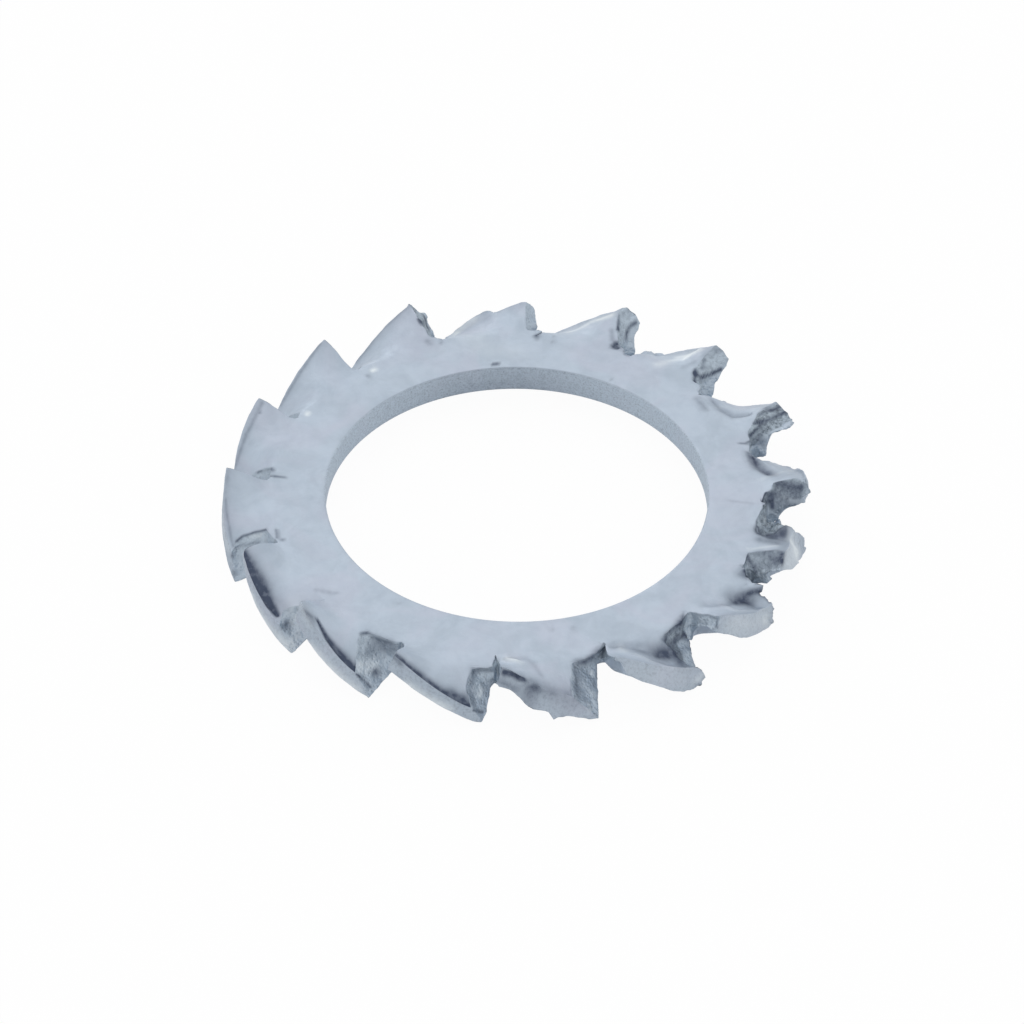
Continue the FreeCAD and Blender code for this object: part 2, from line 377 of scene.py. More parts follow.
        onRaised([(0.82, 0.46), (0.68, 0.52), (0.58, 0.5)], 0.09, shade=1),
        onTop([(0.12, 0.08)], 0.12, shade=0.25),
        onTop([(0.9, -0.24), (0.84, -0.17)], 0.09, shine=1),
        onTop([(1, -0.36), (0.98, -0.41)], 0.09, shade=0.35),
        onTop([(0.13, 0)], 0.18, shade=0.25),
        onTop([(0.02, -0.11)], 0.1, shade=0.35),
        onRaised([(1, 1), (1, 0.74), (1, 0.44), (1, 0.15), (1, 0), (0.82, 0.03), (0.68, 0.07)], 0.12,
            move=[(0.05, 0.05, 0.03), (0, 0.02, -0.01), (-0.02, 0.07, -0.05), (0.01, 0.04, -0.01),
            (-0.03, 0.04, -0.04), (0, 0.08, -0.02), (0, 0.06, -0.03)]),
    ],
    6: [
        onTop([(0.05, 1), (0.39, 0.95), (0.76, 0.98)], 0.08, shade=0.3),
        onTop([(0.91, -0.1), (0.88, -0.08)], 0.1, shine=1),
    ],
    7: [
        onTop([(0.04, 0.86), (0.5, 0.91), (0.82, 1)], 0.08, shade=0.3),
        onTop([(0.15, 0.79)], 0.05, shade=0.6),
        onRaised([(1, 0.12), (0.56, 0.85)], 0.06, shade=0.8),
        onTop([(0.44, 0.92)], 0.05, shade=0.45),
        onLowered([(0.43, 1), (0.04, 0.99)], 0.06, shade=0.75),
        onLowered([(0.03, 0.97), (0.03, 0.75)], 0.06, shade=0.7),
        onTop([(0.97, -0.05), (0.98, -0.38)], 0.08, shade=0.6),
        onTop([(0.86, 0), (0.96, -0.07)], 0.07, shade=0.5),
    ],
    8: [  # far left
        onTop([(0.06, 0.95), (0.32, 1), (0.57, 1)], 0.1, shade=0.15),
        onTop([(0.39, 0.95), (0.55, 0.94), (0.86, 0.93), (0.99, 0.93)], 0.05, move=(0, 0, -0.03),
            shade=0.3),
        onTop([(1, 0.85), (1, 0.7), (1, 0.44), (1, 0.2)], 0.06, shade=0.8),
        onLowered([(0.88, 0.88), (0.7, 0.78), (0.39, 0.71)], 0.06, move=(0, -0.03, 0), shade=0.5),
        onLowered([(1, 0.86)], 0.1, shade=0.7),
        onLowered([(1, 0.32)], 0.13, shade=0.5),
        onLowered([(0.51, 0.92), (0.33, 0.88)], 0.1, shine=0.3),
        onTop([(0.81, 0), (0.93, 0), (1, -0.17)], 0.07, shade=0.55),
        onRim([(0.42, 0.13), (0.82, 0.66)], 0.2, shine=0.3),
    ],
    9: [
        onTop([(0.04, 1), (0.25, 0.97), (0.47, 0.92), (0.7, 0.91), (0.92, 0.88)],
            [0.17, 0.3, 0.32, 0.2, 0.1], move=(0, 0, -0.1), shade=1.15, face="top"),
        onTop([(0.19, 0.89), (0.44, 0.85), (0.72, 0.82)], 0.35, shade=0.2),
        onTop([(0.89, 0.72), (1, 0.66)], 0.25, shade=0.2),
        onRim([(0.39, 0), (0.69, 0.07), (0.97, 0.21)], 0.22, shine=0.55),
        onLowered([(0.82, 0.68)], 0.2, move=(0, -0.06, 0), shade=0.75),
        onLowered([(0.53, 0.82), (0.77, 0.21)], 0.5, shine=0.22),
        onLowered([(0.66, 0.28)], 0.11, shade=0.35),
        onLowered([(0.84, 0.35)], 0.16, move=(0, 0.05, 0), shine=0.45),
        onLowered([(0.52, 0.7)], 0.15, shine=0.3),
        onTop([(0.83, 0), (1, -0.37)], 0.11, shade=0.25),
        onTop([(0.07, 0.96), (0.31, 0.92), (0.56, 0.92), (0.92, 0.88)], 0.3, move=[(0.11, -0.05, 0),
            (0.1, -0.04, 0), (0.05, -0.01, 0), (0.02, -0.02, 0)]),
    ],
    10: [
        onRim([(0.33, 0), (0.57, 0.03), (0.88, 0)], 0.22, shine=0.55),
        onTop([(0.3, 0.82), (0.51, 0.91), (0.71, 0.94), (0.88, 0.97), (0.99, 0.99)],
            [0.06, 0.1, 0.17, 0.22, 0.22], move=(0, 0, -0.08), shade=1.2, face="top"),
        onLowered([(0.99, 0.87), (0.85, 0.2)], 0.06, shade=0.9),
        onTop([(0.15, 1), (0.26, 0.88)], 0.1, shade=0.25),
        onLowered([(0.16, 0.88), (0.13, 0.87), (0.12, 0.92)], 0.16, move=(0, -0.08, 0), shade=0.5),
        onLowered([(0.29, 0.98), (0.17, 0.98)], 0.08, shade=0.8),
        onLowered([(0.23, 0.63), (0.14, 0.59), (0.12, 0.69)], 0.3, shade=0.5),
        onLowered([(0.44, 0.65)], 0.25, shade=0.25),
        onLowered([(0.75, 0.74), (0.66, 0.47), (0.49, 0.42)], 0.26, move=(0, 0.04, 0.02), shine=0.5),
        onLowered([(0.56, 0.27)], 0.19, move=(0, -0.05, 0), shade=0.95),
        onRim([(0.03, 0.88), (0.22, 0.8)], 0.22, shine=0.2),
        onTop([(0.12, 1), (0.26, 1)], 0.2, shade=0.35),
        onTop([(0.65, -0.91)], 0.1, shade=0.25),
    ],
    11: [
        onRim([(0.24, 0), (0.45, 0.05), (0.66, 0.09)], 0.22, shine=0.55),
        onTop([(0.76, 0.87), (0.92, 0.88)], 0.2, shade=0.35),
        onTop([(0, 1), (0.11, 1)], 0.13, shade=0.35),
        onRim([(0.03, 0.78), (0.09, 0.75)], 0.2, shade=0.5),
        onTop([(0, 1), (0.18, 1), (0.42, 0.98), (0.65, 1), (0.84, 1), (1, 1)],
            [0.14, 0.2, 0.18, 0.2, 0.24, 0.22], move=(0, 0, -0.08), shade=1.05, face="top"),
        onLowered([(0.28, 0.94), (0.58, 0.84), (0.86, 0.79)], 0.16, shade=0.4),
        onLowered([(0.28, 0.84), (0.24, 0.89)], 0.14, shade=0.45),
        onLowered([(0.44, 0.5), (0.58, 0.46)], 0.13, move=(0, 0.03, 0), shine=0.6),
        onLowered([(0.38, 0.34)], 0.1, shine=0.4),
        onLowered([(0.18, 1), (0.23, 0.71)], 0.2, shine=0.2),
        onLowered([(0.26, 0.32), (0.23, 0.43)], 0.15, shade=0.3),
        onLowered([(1, 0.77), (0.79, 0.15)], 0.06, shade=0.85),
        onTop([(0.03, 1), (0.28, 0.96), (0.54, 0.92), (0.87, 0.9)], 0.3, move=[(0.07, -0.01, 0),
            (0.09, 0.02, 0), (0.08, 0.01, 0), (0.04, 0, 0)]),
        onLowered([(0, 0.98), (0.21, 0.99)], 0.12, move=[(-0.33, -0.1, 0), (-0.04, -0.08, 0)]),
        onLowered([(1, 0.01), (0.78, 0.02), (0.57, 0.01), (0.38, 0.01), (0.2, 0), (0.02, 0)], 0.25,
            move=[(-0.02, -0.07, 0.03), (0, -0.03, 0.01), (0.01, -0.05, 0), (0, -0.08, 0),
            (-0.01, -0.14, 0.02), (0, -0.11, 0)]),
    ],
    12: [  # nearest the camera
        onRaised([(0, 0.79), (0, 0.34)], 0.2, shine=0.35),
        onTop([(0, 0), (0, 1)], 0.07, move=(0, 0, -0.04), shade=0.25),
        onTop([(0.08, 0), (0.2, 0.18)], 0.13, move=(0, 0, 0.08), shine=0.35),
        onRim([(0.05, 0.75), (0.16, 0.84), (0.29, 0.92)], 0.13, move=(-0.06, 0, 0), shade=1.15),
        onTop([(0.1, 0.05), (0.28, 0.21)], 0.2, move=(0, 0, 0.05), shine=0.35),
        onTop([(0.07, 0), (0.16, 0), (0.27, 0), (0.47, 0.2), (0.57, 0.62)], 0.12, move=(0, 0, -0.03),
            shade=0.22),
        onTop([(0.19, 0.78), (0.33, 1), (0.47, 1), (0.69, 1)], 0.3, move=(0, 0, -0.16), shade=0.2),
        onRim([(0.4, 0.65)], 0.3, move=(-0.1, 0, 0), shade=0.75),
        onRim([(0.01, 0.2), (0.13, 0.17)], 0.18, shade=0.3),
        onLowered([(0.31, 0.84), (0.5, 0.81), (0.72, 0.82)], 0.22, shade=0.42),
        onLowered([(0.92, 0.33)], 0.2, shine=0.3),
        onLowered([(0.17, 0.82), (0.03, 0.76)], 0.17, shade=0.4),
        onLowered([(0.23, 0.58), (0.78, 0.62)], 0.4, shade=0.15),
        onRim([(0.72, 0.91), (0.97, 0.75)], 0.35, shade=0.22),
        onRim([(0.04, 0.34), (0.17, 0.23), (0.31, 0.08)], 0.3, shade=0.25),
        onLowered([(0.17, 0.36)], 0.13, shine=0.45),
        onLowered([(0.53, 0.23)], 0.13, shine=0.4),
        onLowered([(0.33, 0.17)], 0.12, shade=0.45),
        onRim([(0.6, 0)], 0.08, move=(0.04, 0, -0.09), shade=0.2),
        onLowered([(0.18, 0.96), (0.17, 0.92), (0, 1)], 0.12, shade=0.75),
        onTop([(0.02, 0.12), (0.12, 0.86), (0.26, 0.97)], 0.25, move=(-0.08, 0, -0.06)),
        onTop([(0.61, -0.97)], 0.12, shade=0.25),
        onTop([(0.86, -1)], 0.12, shade=0.25),
        onRim([(0, 0.01), (0.06, 0.01), (0.14, 0), (0.22, 0), (0.29, 0), (0.35, 0), (0.45, 0.02),
            (0.53, 0.02), (0.62, 0.01), (0.72, 0.01)], 0.25, move=[(-0.08, -0.11, 0.09),
            (-0.08, -0.04, 0.09), (-0.06, 0.01, 0.06), (0, -0.03, 0), (0.09, -0.07, -0.1),
            (0.13, -0.03, -0.14), (0.06, -0.01, -0.07), (0.05, -0.05, -0.06), (0.06, 0.05, -0.05),
            (0.01, 0.01, -0.01)]),
        onRim([(0.55, 0)], 0.11, move=(0.18, 0.02, -0.19)),
        onRim([(0.25, 0.5), (0.75, 0.5)], 0.4, shade=0.08, face="rim"),
    ],
    13: [
        onRaised([(0.01, 0.89), (0.05, 0.49)], 0.13, shade=0.5),
        onTop([(0.17, 0), (0.39, 0.35), (0.62, 0.65)], 0.3, shade=0.13),
        onRim([(0.93, 0.32), (1, 0.42)], 0.2, shine=0.35),
        onTop([(0.28, 0.11)], 0.14, move=(0, 0, 0.05), shine=0.2),
        onTop([(0.23, 0), (0.56, 0.28), (0.73, 0.53)], 0.22, move=(0, 0, -0.1), shade=0.12),
        onTop([(0.83, 0.5), (1, 0.5), (1, 0.72)], 0.42, move=(0, 0, -0.11), shade=0.75),
        onTop([(0.47, 0.39), (0.57, 0.61), (0.78, 0.62)], 0.28, shade=0.3),
        onTop([(0.12, 0), (0.36, 0.03), (0.72, 0.28)], 0.2, shade=0.18),
        onTop([(0.84, 0.63), (1, 0.62)], 0.24, shade=0.25),
        onLowered([(0, 0.97), (0.12, 0.62)], 0.26, shade=0.3),
        onLowered([(0, 0.53), (0.14, 0), (0.35, 0)], 0.2, shade=0.4),
        onUnderside([(0.07, 0), (0.01, 0.98)], 0.34, move=(0, 0, 0.2)),
        onUnderside([(0.04, 0), (0.1, 0)], 0.3, move=(-0.08, 0, 0.2)),
        onRaised([(0.07, 0.41), (0.39, 0.33)], 0.2, move=(-0.05, 0.04, 0.1)),
        onTop([(0.28, 0.08), (0.29, 0.36)], 0.18, shine=0.3),
        onTop([(0.36, 0.59), (0.47, 0.89), (0.67, 1), (0.92, 1)], 0.09, move=(0, 0, 0.07), shine=0.12),
        onLowered([(0.26, 0.98), (0.06, 0.95), (0, 1)], 0.13, shade=0.75),
        onLowered([(0.27, 0.7), (0.02, 0.35)], 0.16, shade=0.6),
        stroke([(0, 0.01, 0), (0, 0.33, 0), (0, 0.78, 0), (0, 1, 0), (0.1, 1, 0), (0.26, 1, 0.01),
            (0.47, 1, 0.01), (0.6, 1, 0), (0.74, 1, 0), (0.88, 1, 0.01), (1, 1, 0.01), (1, 1, 0.34),
            (1, 1, 0.62), (1, 1, 0.84)], 0.25, move=[(-0.15, 0.04, 0.17), (-0.22, 0.11, 0.26),
            (-0.2, 0.11, 0.24), (-0.12, 0.17, 0.18), (-0.06, 0.04, 0.07), (-0.02, -0.01, 0.01),
            (0.03, 0.01, -0.02), (0.06, -0.03, -0.08), (0.05, -0.03, -0.07), (-0.05, -0.08, -0.01),
            (-0.12, -0.09, 0.03), (0.04, 0.14, 0.07), (0.06, 0.2, 0.09), (0.08, 0.19, 0.06)]),
        onRaised([(0, 0.96)], 0.36, move=(-0.33, 0.34, 0)),
        onLowered([(0.1, 0.07), (0.33, 0.16), (0.5, 0.07)], 0.25, move=[(0.08, 0.19, 0), (0.13, 0.17, 0),
            (0.07, 0.08, 0)]),
        onRaised([(0.28, 0.38), (0.61, 0.38), (1, 0.29)], 0.3, move=[(-0.13, 0.05, 0), (-0.31, 0.14, 0),
            (-0.19, 0.06, 0)]),
        onRim([(0.2, 0.5), (0.8, 0.5)], 0.5, shine=0.1, face="rim"),
    ],
    14: [
        onRim([(0.78, 0.47), (0.95, 0)], 0.25, shine=0.3),
        onRaised([(0.12, 1), (0.47, 1), (0.88, 0.83), (0.98, 0.38)], 0.06, shade=0.5),
        onTop([(0.26, 0.1), (0.49, 0.42)], 0.2, move=(0, 0, -0.08), shade=0.12),
        onTop([(0.7, 0.44), (0.78, 0.49), (0.82, 0.61)], 0.38, move=(0, 0, -0.1), shade=0.8),
        onLowered([(0.12, 0.37)], 0.2, shade=0.5),
        onTop([(0.77, 0.56), (0.46, 0.48), (0.32, 0.25)], 0.18, shade=0.22),
        onTop([(1, 0.45), (0.91, 0.44)], 0.16, shade=0.5),
        onUnderside([(0.04, 0.32), (0, 0.75)], 0.34, move=(0, 0, 0.2)),
        onLowered([(0.16, 0.93), (0.05, 0.32), (0.16, 0.22)], 0.3, shade=0.75),
        onLowered([(0.51, 0.99), (0.69, 0.97), (0.88, 1)], 0.09, shade=0.5),
        onTop([(0.42, 0.36), (0.38, 0.82), (0.71, 0.97), (0.81, 1)], 0.09, move=(0, 0, 0.06), shine=0.1),
        onLowered([(0.09, 1), (0.13, 0.29)], 0.12, shade=0.7),
        onLowered([(0.78, 1), (1, 0.5)], 0.08, shade=0.3),
        onLowered([(0.07, 0.88), (0.19, 1), (0.24, 0.98), (0.38, 0.9)], 0.22, move=[(0.06, 0.02, 0),
            (0.13, 0.12, 0), (0.25, 0.16, 0), (0.17, 0.08, 0)]),
        stroke([(0, 0.03, 0), (0, 0.23, 0.02), (0, 0.47, 0), (0, 0.86, 0.01), (0, 1, 0.01), (0.13, 1, 0),
            (0.3, 1, 0), (0.49, 1, 0.01), (0.72, 1, 0.03), (0.99, 1, 0.02), (1, 1, 0.47), (0.99, 1, 0.99),
            (1, 0.69, 0.98), (1, 0.42, 0.91), (1, 0.37, 0.98)], 0.25, move=[(0.15, 0.18, 0.02),
            (-0.04, 0.12, 0.12), (-0.13, 0.05, 0.14), (-0.05, 0.02, 0.05), (-0.01, 0.04, 0.04),
            (0.04, 0.03, -0.01), (0.05, -0.08, -0.1), (0.04, -0.05, -0.07), (-0.03, -0.03, -0.01),
            (-0.05, -0.05, -0.03), (0.1, 0.03, -0.01), (0.12, 0.09, 0.03), (0.27, 0.17, 0.03),
            (0.37, 0.3, 0.11), (0.39, 0.36, 0.15)]),
        onRaised([(0, 0.97)], 0.42, move=(-0.16, 0.33, 0)),
        onRaised([(0.24, 0.27), (0.49, 0.23), (0.72, 0.11)], 0.25, move=[(-0.13, 0.12, 0), (-0.13, 0.12, 0),
            (-0.05, 0.05, 0)]),
        onTop([(1, 0.56)], 0.22, move=(-0.13, -0.08, 0)),
        onRim([(0.2, 0.5), (0.8, 0.5)], 0.5, shine=0.3, face="rim"),
    ],
    15: [
        onLowered([(0.05, 0.51), (0.08, 0.23)], 0.14, shine=0.45),
        onRaised([(0.17, 0.21), (0.07, 0.49)], 0.2, shade=0.4),
        onRaised([(0.07, 0.92), (0.18, 0.76), (0.32, 0.57)], 0.09, shade=0.75),
        onRaised([(0.93, 0.92), (1, 0.67)], 0.13, shade=0.65),
        onRaised([(0.62, 0.89), (0.8, 0.71)], 0.14, shade=0.35),
        onRaised([(0.28, 0.97), (0.75, 0.9)], 0.42, shade=0.22),
        onTop([(0, 0.32), (0, 0.92)], 0.17, shade=0.35),
        onRaised([(0.34, 0.72), (0.97, 0.53)], 0.17, shade=0.35),
        onRim([(0.63, 0.67), (0.49, 0.14)], 0.36, shine=0.45),
        onTop([(1, 0.84), (0.78, 1)], 0.2, shine=0.35),
        onTop([(0.62, 0.19), (0.56, 0.64)], 0.22, shade=0.5),
        onLowered([(0.03, 0.35), (0.02, 0.4)], 0.13, shine=0.3),
        onTop([(0.27, 0), (0.29, 0.26), (0.39, 0.7)], 0.1, move=(0, 0, 0.02), shine=0.35),
        onRaised([(0.8, 0.82), (1, 0.73)], 0.12, shade=0.5),
        onTop([(0.92, 0.15), (0.97, 0.46), (0.92, 0.75)], 0.25, move=(0, 0, -0.13), shade=0.85),
        onTop([(1, 0.08), (1, 0.13)], 0.06, shade=0.6),
        onLowered([(0.02, 0.41)], 0.06, shine=0.5),
        onLowered([(0.02, 0.95), (0.05, 1), (0.1, 1), (0.14, 1), (0.32, 0.99), (0.39, 0.59)], 0.25,
            move=[(-0.1, 0.11, 0), (-0.16, -0.03, 0), (-0.21, -0.02, 0), (-0.18, 0, 0), (-0.2, 0.03, 0),
            (-0.09, 0.01, 0)]),
        onLowered([(0.12, 0), (0.27, 0), (0.78, 1), (0.9, 0.78), (1, 0.45)], 0.22, move=[(0.12, 0.13, 0.15),
            (0.12, 0.2, 0.22), (0.09, 0.28, 0.3), (0.08, 0.17, 0.18), (0.08, 0.2, 0.22)]),
        onRim([(1, 0.01), (0.8, 0), (0.52, 0.03)], 0.25, move=[(0.09, 0.05, 0.05), (-0.09, 0, 0.01),
            (-0.15, -0.04, -0.01)]),
        stroke([(0.39, 1, 0.01), (0.2, 1, 0.01), (0, 1, 0), (0, 0.79, 0), (0, 0.68, 0.01), (0, 0.57, 0),
            (0, 0.5, 0), (0, 0.4, 0.01), (0, 0.23, 0), (0, 0.08, 0)], 0.2, move=[(-0.03, -0.01, 0),
            (0.05, -0.03, -0.05), (-0.03, 0.06, 0.08), (-0.12, 0.08, 0.14), (-0.07, 0.11, 0.14),
            (0.14, 0.2, 0.14), (0.3, 0.25, 0.13), (0.22, 0.18, 0.09), (0.16, 0.18, 0.12),
            (0.39, 0.2, 0.04)]),
        onRaised([(0.06, 0.99), (0.09, 1), (0.32, 1), (0.67, 1)], 0.2, move=[(-0.11, 0.23, 0),
            (-0.11, 0.22, 0), (-0.04, 0.09, 0), (-0.03, 0.08, 0)]),
        onLowered([(0.27, 0), (0.39, 0)], 0.15, move=[(-0.01, 0.16, 0), (-0.01, 0.18, 0)]),
        onLowered([(1, 0.98), (1, 0.62), (1, 0.36)], 0.2, move=[(0.08, 0.07, 0), (0.12, -0.02, 0),
            (0.15, -0.08, 0)]),
        onRim([(0.15, 0.5), (0.65, 0.5)], 0.6, shine=0.42, face="rim"),
    ],
}

halfPitch = math.pi / ring["toothCount"]
wholeTeeth = [{**toothShape, **tooth} for tooth in teeth]


def evenEnds(count, pull):
    # steps from 0 to 1 that are closer together at both ends
    even = np.linspace(0, 1, count + 1)
    return even - pull * np.sin(2 * np.pi * even) / (2 * np.pi)


depthSteps = evenEnds(fineness["depth"], 0.6)
acrossSteps = evenEnds(fineness["across"], 0.5)
heightSteps = evenEnds(fineness["height"], 0.5)


def gapTable(edge):
    # the gap beside each tooth at even steps outwards from its root
    out = np.arange(0, working["gapReach"], working["gapStep"])
    rows = []
    for tooth in wholeTeeth:
        given = tooth[edge]
        if isinstance(given[0], tuple):
            rows.append(np.interp(out, *zip(*given)))
        else:
            opened = np.sqrt(1 - (1 - np.clip(out / floorRadius[edge], 0, 1)) ** 2)
            length = tooth["tip"] - ring["rootDistance"]
            rows.append((given[0] + (given[1] - given[0]) * out / length) * opened)
    return np.array(rows)


gapTables = {edge: gapTable(edge) for edge in floorRadius}


def gapAt(edge, number, out):
    table = gapTables[edge]
    place = np.clip(out / working["gapStep"], 0, table.shape[1] - 1.001)
    low = place.astype(int)
    return table[number, low] * (low + 1 - place) + table[number, low + 1] * (place - low)


def sizesAt(number):
    # the plain sizes of the tooth that each point belongs to
    plain = [name for name in toothShape if name not in floorRadius]
    return {name: np.array([tooth[name] for tooth in wholeTeeth])[number] for name in plain}


def twistAt(reach, size):
    # how much of its full twist a tooth has at this distance from the axis
    root = ring["rootDistance"]
    return np.sin(np.clip((reach - root) / (size["tip"] - root), 0, 1) * np.pi / 2) ** size["softness"]


def toothPoints(number, depth, across, height):
    # places in tooth number: depth runs root to rim, across raised to lowered end, height underside to top
    size = sizesAt(number)
    root = ring["rootDistance"]

    def level(side, raisedEdge, loweredEdge, slope, thinning, lean):
        reach = root + depth * (size["tip"] - root)
        for _ in range(working["rimRounds"]):
            raised = gapAt(raisedEdge, number, reach - root) - reach * math.tan(halfPitch)
            lowered = reach * math.tan(halfPitch) - gapAt(loweredEdge, number, reach - root)
            y = raised + (lowered - raised) * across
            crown = size["crown"]
            limit = size["tip"] - lean - crown + np.sqrt(np.maximum(crown**2 - y**2, 0.01))
            reach = root + depth * (limit - root)
        twist = twistAt(reach, size)
        z = side * (ring["halfThickness"] - thinning * twist) - np.tan(np.radians(slope)) * twist * y
        return reach, y, z

    lean = size["leanRaised"] + (size["leanLowered"] - size["leanRaised"]) * across
    upper = level(1, "raisedTop", "loweredTop", size["topSlope"], size["topThinning"], lean)
    lower = level(-1, "raisedUnder", "loweredUnder", size["bottomSlope"], size["bottomThinning"], 0.0)
    endCurve = size["raisedCurve"] + (size["loweredCurve"] - size["raisedCurve"]) * across
    reach = lower[0] + (upper[0] - lower[0]) * height
    y = lower[1] + (upper[1] - lower[1]) * height**endCurve
    z = lower[2] + (upper[2] - lower[2]) * height
    angle = np.radians(ring["firstAngle"] + size["turn"] * twistAt(reach, size)) + 2 * halfPitch * number
    cosine, sine = np.cos(angle), np.sin(angle)
    return np.stack([reach * cosine - y * sine, reach * sine + y * cosine, z], -1)


def address(tooth, out, along, up):
    # every mesh point has a whole-number address, so that neighbouring faces share their edge points
    deep, wide, high = fineness["depth"], fineness["across"], fineness["height"]
    tooth, out, along, up = np.broadcast_arrays(tooth, out, along, up)
    past = (out == 0) & (along == wide)  # the root's far corner belongs to the next tooth
    tooth = np.where(past, (tooth + 1) % ring["toothCount"], tooth)
    along = np.where(past, 0, along)
    return ((tooth * (deep + 1) + out) * (wide + 1) + along) * (high + 1) + up


def quads(grid, flip=False):
    corners = [grid[:-1, :-1], grid[1:, :-1], grid[1:, 1:], grid[:-1, 1:]]
    corners = corners[::-1] if flip else corners
    return np.stack([corner.ravel() for corner in corners], -1)


def toothPatches(tooth):
    # one tooth's top, underside, raised end, lowered end and rim
    deep, wide, high = fineness["depth"], fineness["across"], fineness["height"]
    out, along, up = np.arange(deep + 1), np.arange(wide + 1), np.arange(high + 1)
    return [
        quads(address(tooth, out[:, None], along, high)),
        quads(address(tooth, out[:, None], along, 0), flip=True),
        quads(address(tooth, out[:, None], 0, up)),
        quads(address(tooth, out[:, None], wide, up), flip=True),
        quads(address(tooth, deep, along[:, None], up)),
    ]


def bandProfile():
    # the flat band's cut, from the upper root line over the bore's wall to the lower root line. Each row has
    # the share of the way from the root line to a radius, that radius and the height
    edge, half, bore = ring["boreEdge"], ring["halfThickness"], ring["boreRadius"]
    turns = np.linspace(0, math.pi / 2, fineness["boreEdge"] + 1)[1:]
    wallShares = np.linspace(0, 1, fineness["boreWall"] + 1)[1:]
    rows = [(share, bore + edge, half) for share in np.linspace(0, 1, fineness["band"] + 1)[1:]]
    rows += [(1, bore + edge * (1 - math.sin(t)), half - edge * (1 - math.cos(t))) for t in turns]
    rows += [(1, bore, (half - edge) * (1 - 2 * share)) for share in wallShares]
    rows += [(1, bore + edge * (1 - math.cos(t)), -half + edge * (1 - math.sin(t))) for t in turns]
    rows += [(share, bore + edge, -half) for share in np.linspace(1, 0, fineness["under"] + 1)[1:-1]]
    return np.array(rows)


def buildLattice():
    # the washer's points, its faces and the place of each point on it
    deep, wide, high = fineness["depth"], fineness["across"], fineness["height"]
    count, half = ring["toothCount"], ring["halfThickness"]
    profile = bandProfile()
    rows = len(profile)
    first = count * (deep + 1) * (wide + 1) * (high + 1)  # the first address on the band
    columns = np.arange(count * wide)
    tooth, along = np.divmod(columns, wide)
    inner = first + columns[:, None] * rows + np.arange(rows)
    upper, lower = address(tooth, 0, along, high), address(tooth, 0, along, 0)
    strip = np.concatenate([upper[:, None], inner, lower[:, None]], 1)
    patches = [patch for tooth in range(count) for patch in toothPatches(tooth)]
    patches.append(quads(np.concatenate([strip, strip[:1]])))
    keys, faces = np.unique(np.concatenate(patches), return_inverse=True)
    faces = faces.reshape(-1, 4)

    onTooth = keys < first
    rest, up = np.divmod(np.where(onTooth, keys, 0), high + 1)
    rest, along = np.divmod(rest, wide + 1)
    tooth, out = np.divmod(rest, deep + 1)
    column, row = np.divmod(np.where(onTooth, first, keys) - first, rows)
    bandTooth, bandAcross = column // wide, acrossSteps[column % wide]
    rootPoint = toothPoints(bandTooth, np.zeros(len(keys)), bandAcross, np.ones(len(keys)))
    angle = np.arctan2(rootPoint[:, 1], rootPoint[:, 0])
    rootRadius = np.hypot(rootPoint[:, 0], rootPoint[:, 1])
    radius = rootRadius + (profile[row, 1] - rootRadius) * profile[row, 0]
    onBand = np.stack([radius * np.cos(angle), radius * np.sin(angle), profile[row, 2]], -1)
    points = toothPoints(tooth, depthSteps[out], acrossSteps[along], heightSteps[up])
    points = np.where(onTooth[:, None], points, onBand)

    boreTop, wallEnd = fineness["band"], rows - fineness["under"]
    place = {
        "onTooth": onTooth,
        "tooth": np.where(onTooth, tooth, bandTooth),
        "depth": np.where(onTooth, depthSteps[out], 0.0),
        "across": np.where(onTooth, acrossSteps[along], bandAcross),
        "height": np.where(onTooth, heightSteps[up], (onBand[:, 2] + half) / (2 * half)),
        "top": np.where(onTooth, up == high, row < boreTop),
        "under": np.where(onTooth, up == 0, row >= wallEnd),
        "raised": onTooth & (along == 0),
        "lowered": onTooth & ((along == wide) | ((out == 0) & (along == 0))),
        "rim": onTooth & (out == deep),
        "boreTop": ~onTooth & (row >= boreTop) & (row < boreTop + fineness["boreEdge"] - 1),
        "bore": ~onTooth & (row >= boreTop) & (row < wallEnd + 1),
    }
    return points, faces, place


def neighbours(faces, count):
    pairs = np.concatenate([faces[:, [0, 1]], faces[:, [1, 2]], faces[:, [2, 3]], faces[:, [3, 0]]])
    weight = np.bincount(pairs[:, 0], minlength=count) + np.bincount(pairs[:, 1], minlength=count)
    return pairs, weight.astype(float)


def smooth(values, net, strength, times=1):
    # each value moves towards the middle of its neighbours' values
    pairs, weight = net
    values = values.reshape(len(values), -1)
    strength = np.broadcast_to(strength, len(values))
    for _ in range(times):
        total = np.stack([
            np.bincount(pairs[:, 0], values[pairs[:, 1], axis], len(values))
            + np.bincount(pairs[:, 1], values[pairs[:, 0], axis], len(values))
            for axis in range(values.shape[1])
        ], -1)
        values = values + (total / weight[:, None] - values) * strength[:, None]
    return values.squeeze()


def normalsOf(points, faces):
    a, b = points[faces[:, 2]] - points[faces[:, 0]], points[faces[:, 3]] - points[faces[:, 1]]
    flat = np.cross(a, b)
    normals = np.zeros_like(points)
    for corner in range(4):
        for axis in range(3):
            normals[:, axis] += np.bincount(faces[:, corner], flat[:, axis], len(points))
    return normals / np.maximum(np.linalg.norm(normals, axis=1, keepdims=True), 1e-12)


def unevenness(points, width, seed):
    # soft noise between -1 and 1 with bumps about this many millimetres across
    offset = Vector((seed * 17.3, seed * 5.1, seed * 9.7))
    return np.array([noise.noise(Vector(point) / width + offset) for point in points])


